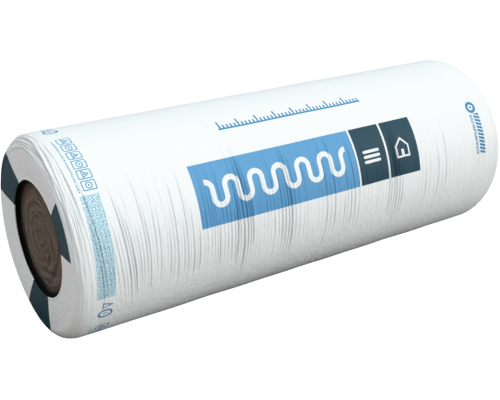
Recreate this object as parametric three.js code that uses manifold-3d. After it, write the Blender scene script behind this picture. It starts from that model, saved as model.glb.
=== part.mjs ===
// Roll of mineral wool insulation, lying on its side: a thick blanket wound tight
// on itself, held by a plastic film that is shrunk over its edges and leaves a
// round opening in each end, where the turns of the blanket show.
//
// Millimetres, +Z up. The roll's axis runs along X, the middle of its length is at
// X = 0, and it lies on Z = 0.

import * as THREE from 'three';
import { mergeVertices } from 'three/addons/utils/BufferGeometryUtils.js';
import Module from 'manifold-3d';

// Driving dimensions

const ROLL_LENGTH = 1200; // width of the blanket, measured over the film
const ROLL_DIAMETER = 448; // measured over the film
const SHOULDER_RADIUS = 33; // the film's turn over the edge of an end
const STANDING_RING_WIDTH = 18; // flat ring of each end, on which the roll can stand
const OPENING_DIAMETER = 248; // what the film leaves open in each end
const OPENING_DIP = 6; // how far the film dips in from the flat ring to its edge
const FILM_WALL = 1;
const FILM_EDGE_DIAMETER = 3; // the film's edge, drawn up into a bead as it shrank
const BEAD_ARC = Math.PI / 2; // how much of the bead's circle faces the roll's axis
const FIT_CLEARANCE = 0.3; // between the film and the wool

const TURN_THICKNESS = 30; // the rolled-up blanket, from one turn to the next
const EYE_RADIUS = 9; // where the innermost turn closes on itself
const SEAM_WIDTH = 13; // crease between two turns, at the wool's face
const SEAM_DEPTH = 6;
const LEDGE_WIDTH = 12; // wool that backs the film past the edge of its opening
const TROUGH_WIDTH = 20; // slope from that ledge down into the opening
const TROUGH_DEPTH = 14; // lowest ring of the wool, behind the film's edge
const CROWN_HEIGHT = 5; // how far the middle of the wool stands out of that ring

// One flank of the crease, from its bottom to clear of the wool's face, in shares of
// half its width and of its depth: a cusp, as between two soft edges that bulge
const SEAM_FLANK = [
  [0, -1],
  [0.4, -0.36],
  [1.3, 0.2],
  [1.3, 1],
];

// Fineness of the curved faces

const SIDES = 60; // a multiple of 4, so that the roll lies on one flat side
const SHOULDER_STEPS = 5;
const TROUGH_STEPS = 3;
const CROWN_STEPS = 2;
const BEAD_STEPS = 4;
const SEAM_STEPS_PER_TURN = 24;
const WELD_DISTANCE = 1e-4;

// Values that follow from them

const HALF_LENGTH = ROLL_LENGTH / 2;
const SHOULDER_CENTRE = ROLL_DIAMETER / 2 - SHOULDER_RADIUS;
const RING_INNER_RADIUS = SHOULDER_CENTRE - STANDING_RING_WIDTH;
const OPENING_RADIUS = OPENING_DIAMETER / 2;
const WOOL_INSET = FILM_WALL + FIT_CLEARANCE;
const LEDGE_RADIUS = OPENING_RADIUS + LEDGE_WIDTH;
const TROUGH_RADIUS = LEDGE_RADIUS - TROUGH_WIDTH;
const AXIS_HEIGHT = (ROLL_DIAMETER / 2) * Math.cos(Math.PI / SIDES);

const FILM_WHITE = 0xe9ecee;
const WOOL_BROWN = 0x75685e;

const wasm = await Module();
wasm.setup();

// A rise from 0 to 1 that starts and ends level.
function ease(t) {
  return (1 - Math.cos(Math.PI * t)) / 2;
}

// Evenly spaced numbers from one value to another, both included.
function spaced(from, to, steps) {
  return Array.from({ length: steps + 1 }, (_, i) => from + ((to - from) * i) / steps);
}

// Distance from the middle of the roll to a surface that lies inset below the
// outside of the film, at a radius on the end of the roll.
function filmFace(radius, inset) {
  if (radius > SHOULDER_CENTRE) {
    const out = Math.min(radius - SHOULDER_CENTRE, SHOULDER_RADIUS - inset);
    const drop = Math.sqrt((SHOULDER_RADIUS - inset) ** 2 - out ** 2);
    return HALF_LENGTH - SHOULDER_RADIUS + drop;
  }
  const inward = Math.max(RING_INNER_RADIUS - radius, 0);
  const slope = OPENING_DIP / (RING_INNER_RADIUS - OPENING_RADIUS);
  return HALF_LENGTH - inset - slope * inward;
}

// The same distance for the face of the wool: it backs the film as far as the
// ledge, slopes down into the trough and rises to the crown in the middle.
function woolFace(radius) {
  const troughFace = HALF_LENGTH - OPENING_DIP - TROUGH_DEPTH;
  if (radius >= LEDGE_RADIUS) {
    return filmFace(radius, WOOL_INSET);
  }
  if (radius >= TROUGH_RADIUS) {
    const rise = filmFace(LEDGE_RADIUS, WOOL_INSET) - troughFace;
    return troughFace + rise * ease((radius - TROUGH_RADIUS) / TROUGH_WIDTH);
  }
  return troughFace + CROWN_HEIGHT * ease(1 - radius / TROUGH_RADIUS);
}

// Points from an inner radius out over the shoulder, on a surface that lies inset
// below the outside of the film.
function endOutline(innerRadius, inset) {
  const shoulder = SHOULDER_RADIUS - inset;
  const points = [innerRadius, RING_INNER_RADIUS].map(
    (radius) => new THREE.Vector2(radius, filmFace(radius, inset)),
  );
  for (const angle of spaced(Math.PI / 2, 0, SHOULDER_STEPS)) {
    const radius = SHOULDER_CENTRE + shoulder * Math.cos(angle);
    const along = HALF_LENGTH - SHOULDER_RADIUS + shoulder * Math.sin(angle);
    points.push(new THREE.Vector2(radius, along));
  }
  return points;
}

// A whole profile from that of one end: the near end is its mirror image.
function bothEnds(endPoints) {
  const mirrored = endPoints.map((point) => new THREE.Vector2(point.x, -point.y));
  return [...mirrored, ...endPoints.toReversed()];
}

// The film's edge at the opening, a bead round the wall's middle line, from the
// inside of the film to its outside.
function beadOutline() {
  const radius = FILM_EDGE_DIAMETER / 2;
  const centre = OPENING_RADIUS + radius;
  const along = filmFace(OPENING_RADIUS, FILM_WALL / 2);
  const angles = spaced(BEAD_ARC / 2 - Math.PI, -BEAD_ARC / 2 - Math.PI, BEAD_STEPS);
  return angles.map(
    (angle) =>
      new THREE.Vector2(centre + radius * Math.cos(angle), along + radius * Math.sin(angle)),
  );
}

// Merges equal vertices and drops the triangles that this leaves without area.
function weld(geometry) {
  geometry.deleteAttribute('normal');
  geometry.deleteAttribute('uv');
  const merged = mergeVertices(geometry, WELD_DISTANCE);
  const corners = merged.index.array;
  const kept = [];
  for (let i = 0; i < corners.length; i += 3) {
    const [a, b, c] = corners.slice(i, i + 3);
    if (a !== b && b !== c && c !== a) {
      kept.push(a, b, c);
    }
  }
  merged.setIndex(kept);
  return merged;
}

// A closed turned body about the X axis from a profile of (radius, distance along).
function turned(profile) {
  const lathe = new THREE.LatheGeometry(profile, SIDES, Math.PI / SIDES);
  const position = lathe.attributes.position;
  const lastColumn = SIDES * profile.length;
  for (let i = 0; i < profile.length; i += 1) {
    position.setXYZ(lastColumn + i, position.getX(i), position.getY(i), position.getZ(i));
  }
  lathe.rotateZ(-Math.PI / 2);
  return weld(lathe);
}

// The mirror image of a closed body at the other end of the roll.
function atOtherEnd(geometry) {
  const mirrored = geometry.clone().scale(-1, 1, 1);
  mirrored.setIndex(Array.from(mirrored.index.array).reverse());
  return mirrored;
}

function toSolid(geometry) {
  const mesh = new wasm.Mesh({
    numProp: 3,
    vertProperties: new Float32Array(geometry.attributes.position.array),
    triVerts: new Uint32Array(geometry.index.array),
  });
  return new wasm.Manifold(mesh);
}

function toGeometry(solid) {
  const mesh = solid.getMesh();
  const geometry = new THREE.BufferGeometry();
  geometry.setAttribute('position', new THREE.BufferAttribute(mesh.vertProperties, 3));
  geometry.setIndex(new THREE.BufferAttribute(mesh.triVerts, 1));
  geometry.computeVertexNormals();
  return geometry;
}

// The crease between two turns, as a straight bar that is wound up like the blanket:
// its width turns radial, its height axial and its length the angle turned.
function seamCutter() {
  const flank = SEAM_FLANK.map(
    ([out, up]) => new THREE.Vector2((out * SEAM_WIDTH) / 2, up * SEAM_DEPTH),
  );
  const otherFlank = flank.slice(1).map((point) => new THREE.Vector2(-point.x, point.y));
  const section = new THREE.Shape([...flank, ...otherFlank.reverse()]);
  const turns = (RING_INNER_RADIUS - EYE_RADIUS) / TURN_THICKNESS;
  const depth = 2 * Math.PI * turns;
  const steps = Math.round(turns * SEAM_STEPS_PER_TURN);
  const bar = weld(new THREE.ExtrudeGeometry(section, { depth, steps, bevelEnabled: false }));
  const position = bar.attributes.position;
  for (let i = 0; i < position.count; i += 1) {
    const angle = position.getZ(i);
    const radius = EYE_RADIUS + (TURN_THICKNESS * angle) / (2 * Math.PI) + position.getX(i);
    const along = woolFace(radius) + position.getY(i);
    position.setXYZ(i, along, radius * Math.cos(angle), -radius * Math.sin(angle));
  }
  return bar;
}

function woolRoll() {
  const face = [
    ...spaced(0, TROUGH_RADIUS, CROWN_STEPS),
    ...spaced(TROUGH_RADIUS, LEDGE_RADIUS, TROUGH_STEPS).slice(1, -1),
  ].map((radius) => new THREE.Vector2(radius, woolFace(radius)));
  const blank = turned(bothEnds([...face, ...endOutline(LEDGE_RADIUS, WOOL_INSET)]));
  const seam = seamCutter();
  const cut = toSolid(blank).subtract(toSolid(seam)).subtract(toSolid(atOtherEnd(seam)));
  return toGeometry(cut);
}

function filmWrap() {
  const edge = OPENING_RADIUS + FILM_EDGE_DIAMETER;
  const outside = bothEnds(endOutline(edge, 0));
  const inside = bothEnds(endOutline(edge, FILM_WALL)).reverse();
  const farEdge = beadOutline();
  const nearEdge = farEdge.map((point) => new THREE.Vector2(point.x, -point.y));
  const profile = [...nearEdge, ...outside, ...farEdge.reverse(), ...inside];
  return turned([...profile, profile[0].clone()]);
}

function piece(name, geometry, color, roughness) {
  const material = new THREE.MeshStandardMaterial({ color, roughness, metalness: 0 });
  const mesh = new THREE.Mesh(geometry, material);
  mesh.name = name;
  mesh.position.z = AXIS_HEIGHT;
  return mesh;
}

const insulationRoll = new THREE.Group();
insulationRoll.name = 'insulation_roll';
insulationRoll.add(piece('wool_roll', woolRoll(), WOOL_BROWN, 1));
insulationRoll.add(piece('film_wrap', filmWrap(), FILM_WHITE, 0.35));

export default insulationRoll;
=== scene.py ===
# %% [markdown]
# # A roll of mineral wool insulation
# The roll is a thick blanket of brown glass wool, wound tight on itself and held by a
# white polyethylene film. The film was shrunk over both edges, so it is wrinkled round
# the roll and leaves a round opening in each end, where the turns of the blanket show.
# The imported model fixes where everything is. This script makes the two pieces again as
# fine surfaces, gives them their finishes, and lights them in a plain white studio.

import math

import bpy
import numpy as np
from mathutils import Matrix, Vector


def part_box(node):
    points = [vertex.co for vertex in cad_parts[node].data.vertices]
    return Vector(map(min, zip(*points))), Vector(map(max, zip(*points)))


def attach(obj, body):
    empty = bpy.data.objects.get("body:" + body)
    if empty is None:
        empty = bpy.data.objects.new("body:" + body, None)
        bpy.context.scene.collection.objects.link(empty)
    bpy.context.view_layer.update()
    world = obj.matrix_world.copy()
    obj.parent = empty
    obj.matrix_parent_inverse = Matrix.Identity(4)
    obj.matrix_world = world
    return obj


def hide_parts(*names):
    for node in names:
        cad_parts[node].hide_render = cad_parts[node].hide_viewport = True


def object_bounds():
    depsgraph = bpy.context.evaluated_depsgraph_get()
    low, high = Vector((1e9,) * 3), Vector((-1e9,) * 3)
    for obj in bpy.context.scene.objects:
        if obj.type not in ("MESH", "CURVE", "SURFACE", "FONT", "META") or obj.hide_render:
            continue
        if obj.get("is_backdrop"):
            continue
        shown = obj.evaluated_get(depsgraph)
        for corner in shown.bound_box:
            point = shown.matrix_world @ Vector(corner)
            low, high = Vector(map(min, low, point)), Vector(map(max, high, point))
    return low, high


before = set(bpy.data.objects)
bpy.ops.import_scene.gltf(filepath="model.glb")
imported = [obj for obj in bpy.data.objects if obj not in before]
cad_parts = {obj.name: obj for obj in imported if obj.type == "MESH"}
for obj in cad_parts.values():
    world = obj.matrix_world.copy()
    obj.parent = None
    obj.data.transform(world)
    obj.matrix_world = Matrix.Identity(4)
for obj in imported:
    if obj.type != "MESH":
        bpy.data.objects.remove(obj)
cad_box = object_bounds()
print("nodes:", sorted(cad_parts))

# %% The roll's own sizes, in metres
MM = 0.001
film_low, film_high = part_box("film_wrap")
LENGTH = film_high.x - film_low.x
RADIUS = (film_high.z - film_low.z) / 2
AXIS_Z = (film_high.z + film_low.z) / 2
OPENING_RADIUS = 127.5 * MM
EDGE_DIP = 4.3 * MM  # how far the film's cut edge lies behind the flat ring
print(f"roll {LENGTH / MM:.0f} mm long, {2 * RADIUS / MM:.0f} mm across")

# %% [markdown]
# ## A grid of points made into a mesh
# Both pieces are surfaces of two parameters: a profile of (radius, distance along) that
# is carried round the axis. The points are worked out as whole arrays and handed to the
# mesh at once, which is far quicker than adding vertices one by one. Columns go round
# the roll and close on the first; rows follow the profile.


# %% Angles, and points round the axis
def angles(columns):
    """Evenly spaced angles round the axis, in radians: 0 faces the front, a quarter turn is up."""
    return np.linspace(0.0, 2 * np.pi, columns, endpoint=False)


def around_axis(along, radius, angle):
    """x is the distance along; y = -radius * cos(angle); z = axis height + radius * sin(angle)."""
    y = -radius * np.cos(angle)
    z = AXIS_Z + radius * np.sin(angle)
    return np.stack(np.broadcast_arrays(along, y, z), axis=-1)


# %% From a grid to a mesh object
def grid_faces(rows, columns, closed_rows):
    """Quads between neighbouring rows and columns; the last column joins the first, and
    with closed_rows the last row joins the first too."""
    last = rows if closed_rows else rows - 1
    row, column = np.meshgrid(np.arange(last), np.arange(columns), indexing="ij")
    next_row, next_column = (row + 1) % rows, (column + 1) % columns
    corners = [(row, column), (row, next_column), (next_row, next_column), (next_row, column)]
    return np.stack([r * columns + c for r, c in corners], axis=-1).reshape(-1, 4)


def mesh_object(name, points, faces):
    """A smooth mesh object at the origin from arrays of points and faces."""
    mesh = bpy.data.meshes.new(name)
    mesh.from_pydata(points.reshape(-1, 3).tolist(), [], faces.tolist())
    mesh.polygons.foreach_set("use_smooth", np.ones(len(mesh.polygons), bool))
    mesh.update()
    thing = bpy.data.objects.new(name, mesh)
    bpy.context.scene.collection.objects.link(thing)
    return thing


# %% Numbers that materials read: a map of two lengths, and one value per vertex
def map_corners(thing, name, across, along, turn, columns):
    """Stores (across, along) at every face corner. Corners past the last column get one
    whole turn more, so that no face has its map running backwards."""
    mesh = thing.data
    vertex = np.empty(len(mesh.loops), np.int64)
    mesh.loops.foreach_get("vertex_index", vertex)
    column = vertex.reshape(-1, 4) % columns
    wrapped = (column == 0) & (column.max(axis=1, keepdims=True) == columns - 1)
    values = np.stack([across.ravel()[vertex], along.ravel()[vertex]], axis=-1)
    values[:, 1] += wrapped.ravel() * turn
    mesh.uv_layers.new(name=name).data.foreach_set("uv", values.astype(np.float32).ravel())


def point_values(thing, name, values):
    """One number per vertex, stored under a name that a material can read."""
    stored = thing.data.attributes.new(name, "FLOAT", "POINT")
    stored.data.foreach_set("value", values.astype(np.float32).ravel())
    print(f"{thing.name}: {name} from {values.min():.2f} to {values.max():.2f}")


# %% [markdown]
# ## Uneven surfaces from sine waves
# Soft things are never quite even. A few dozen sine waves of random length, direction and
# start, added up, give a smooth random surface with no grid to it. A whole number of waves
# round the roll makes it close on itself. Each call has its own seed, so every run is alike.

# %% Smooth randomness on the roll
LENGTH_SPREAD = (0.6, 1.8)  # shortest and longest wave, in shares of the length asked for
USUAL_PEAK = 1.6  # standard deviations that a sum of waves seldom goes beyond


def soft_noise(along, angle, wavelength, most_around, waves, seed):
    """Sum of cosines of (2 pi * along / length + k * angle + start) with k a whole number,
    scaled to about -1 to 1."""
    random = np.random.default_rng(seed)
    total = np.zeros(np.broadcast(along, angle).shape)
    for _ in range(waves):
        frequency = 2 * np.pi / (wavelength * random.uniform(*LENGTH_SPREAD))
        around = random.integers(-most_around, most_around + 1)
        total += np.cos(frequency * along + around * angle + random.uniform(0, 2 * np.pi))
    return total / math.sqrt(waves / 2) / USUAL_PEAK


# %% [markdown]
# ## The film, shrunk over the roll
# The real film is a tenth of a millimetre of polyethylene. It hugs the cylinder, turns
# over each shoulder, and is pulled taut in a flat ring that dips in towards the opening,
# where its cut edge has curled into a thin bead. A Solidify modifier could give it a wall,
# but it would double the finest rows where nobody looks, so the profile itself runs out
# along the outside in fine steps and back along the inside in coarse ones.

# %% The film's profile
SHOULDERS = {
    # end: (its size along the roll, its size outwards, how early it turns)
    -1: (41 * MM, 27 * MM, 1.6),
    1: (28 * MM, 36 * MM, 1.0),
}
RING_WIDTH = 14 * MM
BEAD_RADIUS = 1.6 * MM
DIP_POWER = 1.6


def film_end(side, steps):
    """(radius, along) from inside the opening's edge to the cylinder: half a circle for
    the bead, a dip that eases out to the flat ring as (1 - share) ** DIP_POWER, then a
    quarter turn over the shoulder whose heading is 90 degrees * (1 - (1 - share) ** early),
    so it turns the more at the ring the higher early is. The bead has a third of the
    steps, and the shoulder twice as many."""
    along_radius, out_radius, early = SHOULDERS[side]
    ring_outer = RADIUS - out_radius
    ring_inner = ring_outer - RING_WIDTH
    curl = np.linspace(-np.pi / 2, -3 * np.pi / 2, steps // 3)
    bead = np.stack([
        OPENING_RADIUS + BEAD_RADIUS + BEAD_RADIUS * np.cos(curl),
        LENGTH / 2 - EDGE_DIP - BEAD_RADIUS + BEAD_RADIUS * np.sin(curl),
    ], axis=-1)
    share = np.linspace(0, 1, steps)[1:]
    dip = np.stack([
        bead[-1, 0] + share * (ring_inner - bead[-1, 0]),
        LENGTH / 2 - EDGE_DIP * (1 - share) ** DIP_POWER,
    ], axis=-1)
    heading = np.pi / 2 * (1 - (1 - (np.arange(2 * steps) + 0.5) / (2 * steps)) ** early)
    outwards, inwards = np.cumsum(np.cos(heading)), np.cumsum(np.sin(heading))
    shoulder = np.stack([
        ring_outer + out_radius * outwards / outwards[-1],
        LENGTH / 2 - along_radius * inwards / inwards[-1],
    ], axis=-1)
    end = np.concatenate([bead, dip, shoulder])
    end[:, 1] *= side
    return end


def resample(path, step):
    """Points at even distances along a path of straight pieces."""
    distance = np.concatenate([[0], np.cumsum(np.linalg.norm(np.diff(path, axis=0), axis=1))])
    even = np.linspace(0, distance[-1], int(round(distance[-1] / step)) + 1)
    return np.stack([np.interp(even, distance, path[:, i]) for i in range(2)], axis=-1)


def square_to(path):
    """The path's direction turned by a quarter: out of the roll on the way from the near
    end to the far one, and into it on the way back."""
    direction = np.gradient(path, axis=0)
    direction /= np.linalg.norm(direction, axis=1, keepdims=True)
    return np.stack([direction[:, 1], -direction[:, 0]], axis=-1)


# %% The profile in fine steps, and the film's length along it
PROFILE_STEPS = 40
OUTSIDE_STEP = 1.05 * MM
film_path = np.concatenate([film_end(-1, PROFILE_STEPS), film_end(1, PROFILE_STEPS)[::-1]])
outside = resample(film_path, OUTSIDE_STEP)
outward = square_to(outside)
row_step = np.linalg.norm(np.diff(outside, axis=0), axis=1).mean()
developed = (np.arange(len(outside)) - (len(outside) - 1) / 2) * row_step
print(f"{len(outside)} rows outside, {developed[-1] * 2 / MM:.0f} mm of film from edge to edge")

# %% [markdown]
# ## Shrink wrinkles
# As the film shrinks it gathers along the roll, so its wrinkles run round it. They come
# as fine pleats about a centimetre apart, deep where the film has gathered and faint
# between. Nearly all begin at one height, low on the roll's side, and only those by the
# near shoulder begin higher. Each runs up as far as it will, and few reach the top. Some
# long ones wander off at a slant. The film lies over at each pleat, so one side of the
# valley is a gentle slope and the other a small step. A bump in the material could draw
# them, but they are moved into the mesh, so that they catch the light like real ones.

# %% Rows that lean with the pleats
FILM_COLUMNS = 72
film_angle = angles(FILM_COLUMNS)
FLANK = math.radians(6)  # the middle height of the pleats on the roll's side
LEAN = np.array([
    # millimetres from the roll's middle, millimetres gained in a turn of 1 radian
    (-660, 0), (-620, -6), (-580, -8), (-540, -20), (-490, -22), (-450, -4), (-410, 8), (-370, 4),
    (-320, 0),
])


def along_roll(table, place):
    """A table's second column at a place in metres, straight between its rows."""
    return np.interp(place / MM, table[:, 0], table[:, 1])


def on_profile(values, place):
    """Values of the profile's rows, read at other places along the film."""
    return np.interp(place, developed, values)


leaning = along_roll(LEAN, developed)[:, None] * MM * np.sin(film_angle - FLANK)[None, :]
flat_along = developed[:, None] + leaning
film_radius = on_profile(outside[:, 0], flat_along)
film_along = on_profile(outside[:, 1], flat_along)
normal_radius = on_profile(outward[:, 0], flat_along)
normal_along = on_profile(outward[:, 1], flat_along)
from_edge = developed[-1] - np.abs(flat_along)
print(f"rows lean by up to {np.abs(leaning).max() / MM:.0f} mm")

# %% One pleat
GENTLE_SLOPE = 1.4 * MM
STEEP_SLOPE = 0.85 * MM
RIDGE_PLACE = 2.2 * MM
RIDGE_SHARE = 0.5
TAIL_SHARE = 0.22
TAIL_REACH = 1.8


def angle_from(angle, centre):
    """The signed turn from a centre angle, between minus and plus half a turn."""
    return (angle - centre + np.pi) % (2 * np.pi) - np.pi


def pleat(along, angle, place, centre, reach, slant, curve, spread=1.0):
    """A valley with its line at place + slant * turn + curve * turn ** 2, falling as
    exp(distance / gentle) and rising as exp(-(distance / steep) ** 2) to a low ridge. Along
    its run it fades as exp(-(turn / reach) ** 4), with a faint tail that runs on beyond
    that. The spread widens all of it."""
    turn = angle_from(angle, centre)
    across = (along - (place + slant * turn + curve * turn**2)) / spread
    fall = np.exp(np.minimum(across, 0) / GENTLE_SLOPE)
    rise = np.exp(-((np.maximum(across, 0) / STEEP_SLOPE) ** 2))
    ridge = RIDGE_SHARE * np.exp(-(((across - RIDGE_PLACE) / STEEP_SLOPE) ** 2))
    run = np.exp(-((turn / reach) ** 4))
    tail = np.exp(-((turn / (TAIL_REACH * reach)) ** 4))
    return (fall * rise - ridge) * ((1 - TAIL_SHARE) * run + TAIL_SHARE * tail)


# %% How strongly the film has gathered along the roll
GATHERED = np.array([
    # millimetres from the roll's middle, share of the deepest pleats
    (-600, 0.45), (-550, 0.95), (-510, 1.5), (-480, 0.95), (-440, 0.85), (-360, 0.8),
    (-310, 0.75), (-230, 1.1), (-200, 1.3), (-170, 0.4), (-90, 1.3), (-30, 0.15), (20, 0.8),
    (90, 0.7), (140, 0.3), (225, 1.1), (268, 0.1), (320, 0.7), (350, 0.55), (385, 0.9),
    (430, 0.3), (530, 0.4), (600, 0.6),
])
HIGHER = np.array([
    # millimetres from the roll's middle, how much further up the pleats run, in degrees
    (-560, 4), (-490, 4), (-400, 0),
])
SPACING = np.array([
    # millimetres from the roll's middle, millimetres from one pleat to the next
    (-600, 8), (-190, 8.2), (20, 11.5), (110, 11.5), (180, 9), (240, 9), (300, 12.5), (420, 13),
    (600, 11),
])
LOWER_ENDS = np.array([
    # millimetres from the roll's middle, degrees round the roll at which the pleats begin
    (-600, 4), (-575, 2), (-552, -14),
])
PLEAT_DEPTH = 2.7 * MM
DEPTH_SPREAD = (0.5, 1.5)  # shallowest and deepest, in shares of the depth there
SPACING_SPREAD = (0.75, 1.25)
PLEAT_REACHES = (0.22, 0.5)  # radians to either side of a pleat's middle
PLEAT_WIDTHS = (0.72, 0.98)
LOWER_END_SCATTER = 0.04  # radians
SLANT_SCATTER = 2  # millimetres in a turn of 1 radian
CURVE_SCATTER = 4
PLEAT_ROWS = 50 * MM  # rows farther off than this don't feel a pleat


def add_pleats(depth, front, shift, random):
    """Adds the pleats of one side of the roll. They begin near one height at the bottom,
    and each runs up as far as its own reach takes it. The shift moves the gathered places
    along, so that the two sides differ."""
    place = -LENGTH / 2
    while place < LENGTH / 2:
        near = np.abs(developed - place) < PLEAT_ROWS
        deepest = PLEAT_DEPTH * along_roll(GATHERED, place + shift)
        reach = random.uniform(*PLEAT_REACHES) + math.radians(along_roll(HIGHER, place)) / 2
        lower_end = random.normal(math.radians(along_roll(LOWER_ENDS, place)), LOWER_END_SCATTER)
        centre = lower_end + reach
        depth[near] += deepest * random.uniform(*DEPTH_SPREAD) * pleat(
            developed[near, None],
            film_angle[None, :],
            place,
            centre if front else np.pi - centre,
            reach,
            random.normal(0, SLANT_SCATTER) * MM,
            random.normal(0, CURVE_SCATTER) * MM,
            spread=random.uniform(*PLEAT_WIDTHS),
        )
        place += along_roll(SPACING, place + shift) * MM * random.uniform(*SPACING_SPREAD)


depth = np.zeros((len(developed), FILM_COLUMNS))
random = np.random.default_rng(seed=11)
add_pleats(depth, front=True, shift=0.0, random=random)
add_pleats(depth, front=False, shift=60 * MM, random=random)
print(f"pleats up to {depth.max() / MM:.2f} mm deep")

# %% Fine pleats between them
FINE_PLEATS = 420
FINE_DEPTHS = (0.1, 0.5)
FINE_REACHES = (0.12, 0.4)
FINE_ANGLE_SCATTER = 0.3
FINE_SCATTER = 5  # millimetres, of slant and of curve
FINE_ROWS = 30 * MM
for _ in range(FINE_PLEATS):
    place = random.uniform(-1, 1) * LENGTH / 2
    flank = random.choice([FLANK, np.pi - FLANK]) + random.normal(0, FINE_ANGLE_SCATTER)
    near = np.abs(developed - place) < FINE_ROWS
    depth[near] += random.uniform(*FINE_DEPTHS) * MM * pleat(
        developed[near, None],
        film_angle[None, :],
        place,
        flank,
        random.uniform(*FINE_REACHES),
        random.normal(0, FINE_SCATTER) * MM,
        random.normal(0, FINE_SCATTER) * MM,
    )
print(f"{FINE_PLEATS} fine pleats more, with ridges up to {-depth.min() / MM:.2f} mm")

# %% Long creases that wander off at a slant
LONG_CREASES = (
    # place mm, centre degrees, reach degrees, slant mm, curve mm, depth mm
    (-232, 28, 58, 5, 5, 1.4),
    (-218, 30, 56, 3, 5, 1.2),
    (8, -10, 34, 6, 4, 0.9),
    (316, 4, 36, 4, 6, 0.8),
    (216, -22, 14, 12, 0, 0.5),
    (414, -12, 14, -60, 10, 0.4),
    (-440, -24, 14, 12, 0, 0.5),
    (-100, -20, 14, -22, 0, 0.4),
    (-270, -32, 14, 10, 0, 0.5),
    (120, -30, 16, 30, 8, 0.4),
    (505, -8, 30, 8, 14, 0.5),
    (-484, 88, 26, 6, 4, 0.35),
    (-528, 96, 24, -6, 8, 0.4),
    (-120, 172, 40, -30, 20, 0.7),
    (150, 190, 36, 30, -20, 0.6),
    (390, 165, 40, -26, 20, 0.6),
    (-380, 185, 40, 20, 16, 0.7),
)
for place, centre, reach, slant, curve, size in LONG_CREASES:
    depth += size * MM * pleat(
        developed[:, None],
        film_angle[None, :],
        place * MM,
        math.radians(centre),
        math.radians(reach),
        slant * MM,
        curve * MM,
    )
print(f"{len(LONG_CREASES)} long creases, {depth.max() / MM:.2f} mm deep at the most")

# %% [markdown]
# ## The shoulders
# Where the film turns over an edge of the roll it has most to lose, because the opening is
# far smaller round than the cylinder. It bunches up in short folds of every length. The
# near end has bigger ones too, and begins in a thick welt that the hardest pulls have
# dented. A cloth simulation would bunch the film up by itself, but formulas put each fold
# in its place. They are the same pleats as on the side, only shorter, wider and at a slant.

# %% Short folds where the film turns over
FOLD_PLACES = (-22, 34)  # millimetres in from the end of the roll, along the film
FOLD_SIZES = (0.3, 1)  # shallowest and deepest, in shares of the most
FOLD_WIDTHS = (0.8, 1.6)
FOLD_ANGLE_SCATTER = 0.8  # radians
SHORTEST_FOLD = 0.08  # radians to either side of its middle
FOLD_SLANT_SCATTER = 7
FOLD_CURVE_SCATTER = 12


def short_folds(side, count, most, middle, longest, random):
    """How deep a number of folds of every length over one shoulder go: up to most, in
    millimetres, and thickest round a middle angle."""
    folds = np.zeros((len(developed), FILM_COLUMNS))
    for _ in range(count):
        place = side * (LENGTH / 2 - random.uniform(*FOLD_PLACES) * MM)
        near = np.abs(developed - place) < PLEAT_ROWS
        folds[near] += most * random.uniform(*FOLD_SIZES) * MM * pleat(
            developed[near, None],
            film_angle[None, :],
            place,
            random.normal(middle, FOLD_ANGLE_SCATTER),
            random.uniform(SHORTEST_FOLD, longest),
            random.normal(0, FOLD_SLANT_SCATTER) * MM,
            random.normal(0, FOLD_CURVE_SCATTER) * MM,
            spread=random.uniform(*FOLD_WIDTHS),
        )
    return folds


random = np.random.default_rng(seed=12)
near_middle, far_middle = math.radians(60), math.radians(75)
near_folds = short_folds(-1, 90, most=1.2, middle=near_middle, longest=0.4, random=random)
far_folds = short_folds(1, 70, most=0.7, middle=far_middle, longest=0.5, random=random)
print(f"short folds up to {near_folds.max() / MM:.2f} and {far_folds.max() / MM:.2f} mm deep")

# %% The deepest folds of the near shoulder, where most film was gathered
SHOULDER_FOLDS = (
    # mm past the flat ring, centre degrees, reach degrees, slant mm, depth mm, spread
    (13, 71, 15, 20, 3.1, 2.5),
    (21, 110, 24, 0, 2.7, 2.2),
    (29, 112, 24, 0, 1.8, 1.9),
    (12, 112, 20, 2, 2.4, 2.4),
    (24, 71, 11, 14, 2.2, 1.6),
    (32, 69, 9, 14, 1.6, 1.4),
    (20, 51, 8, 3, 2.0, 1.8),
    (27, 36, 16, -6, 1.4, 1.3),
    (38, 34, 20, -6, 1.4, 1.3),
    (11, 33, 9, 5, 2.2, 2.8),
)
ring_edge = developed[np.argmax(outside[:, 0] > RADIUS - SHOULDERS[-1][1])]
for past_ring, centre, reach, slant, size, spread in SHOULDER_FOLDS:
    near_folds += size * MM * pleat(
        flat_along,
        film_angle[None, :],
        ring_edge + past_ring * MM,
        math.radians(centre),
        math.radians(reach),
        slant * MM,
        0.0,
        spread,
    )
print(f"near shoulder's folds up to {near_folds.max() / MM:.2f} mm deep")

# %% The welt in which the near shoulder begins, dented where the film was pulled hardest
WELT_LINE = np.array([
    # degrees round the roll, millimetres past the flat ring
    (-90, 3), (20, 0), (40, -4), (50, -6), (60, 0), (65, -4), (70, -8), (75, -7), (82, 0),
    (90, 4), (110, 4), (180, 0), (270, 3),
])
WELT_HEIGHT = 1.1 * MM
WELT_RISE = 3.5 * MM
WELT_FALL = 9 * MM
LOWEST_WELT = 0.3
WELT_DROP = 0.2  # sine of the angle below the axis at which the welt is lowest


def welt():
    """A ridge that rises from the ring as exp(-(distance / rise) ** 2) and falls over the
    shoulder as exp(-(distance / fall) ** 2), highest round the top."""
    degrees = (np.degrees(film_angle) + 90) % 360 - 90
    line = np.interp(degrees, WELT_LINE[:, 0], WELT_LINE[:, 1]) * MM
    across = flat_along - ring_edge - line[None, :]
    slope = np.where(across < 0, WELT_RISE, WELT_FALL)
    upper = LOWEST_WELT + (1 - LOWEST_WELT) * np.clip(np.sin(film_angle) + WELT_DROP, 0, 1)
    return WELT_HEIGHT * upper[None, :] * np.exp(-((across / slope) ** 2))


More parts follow.
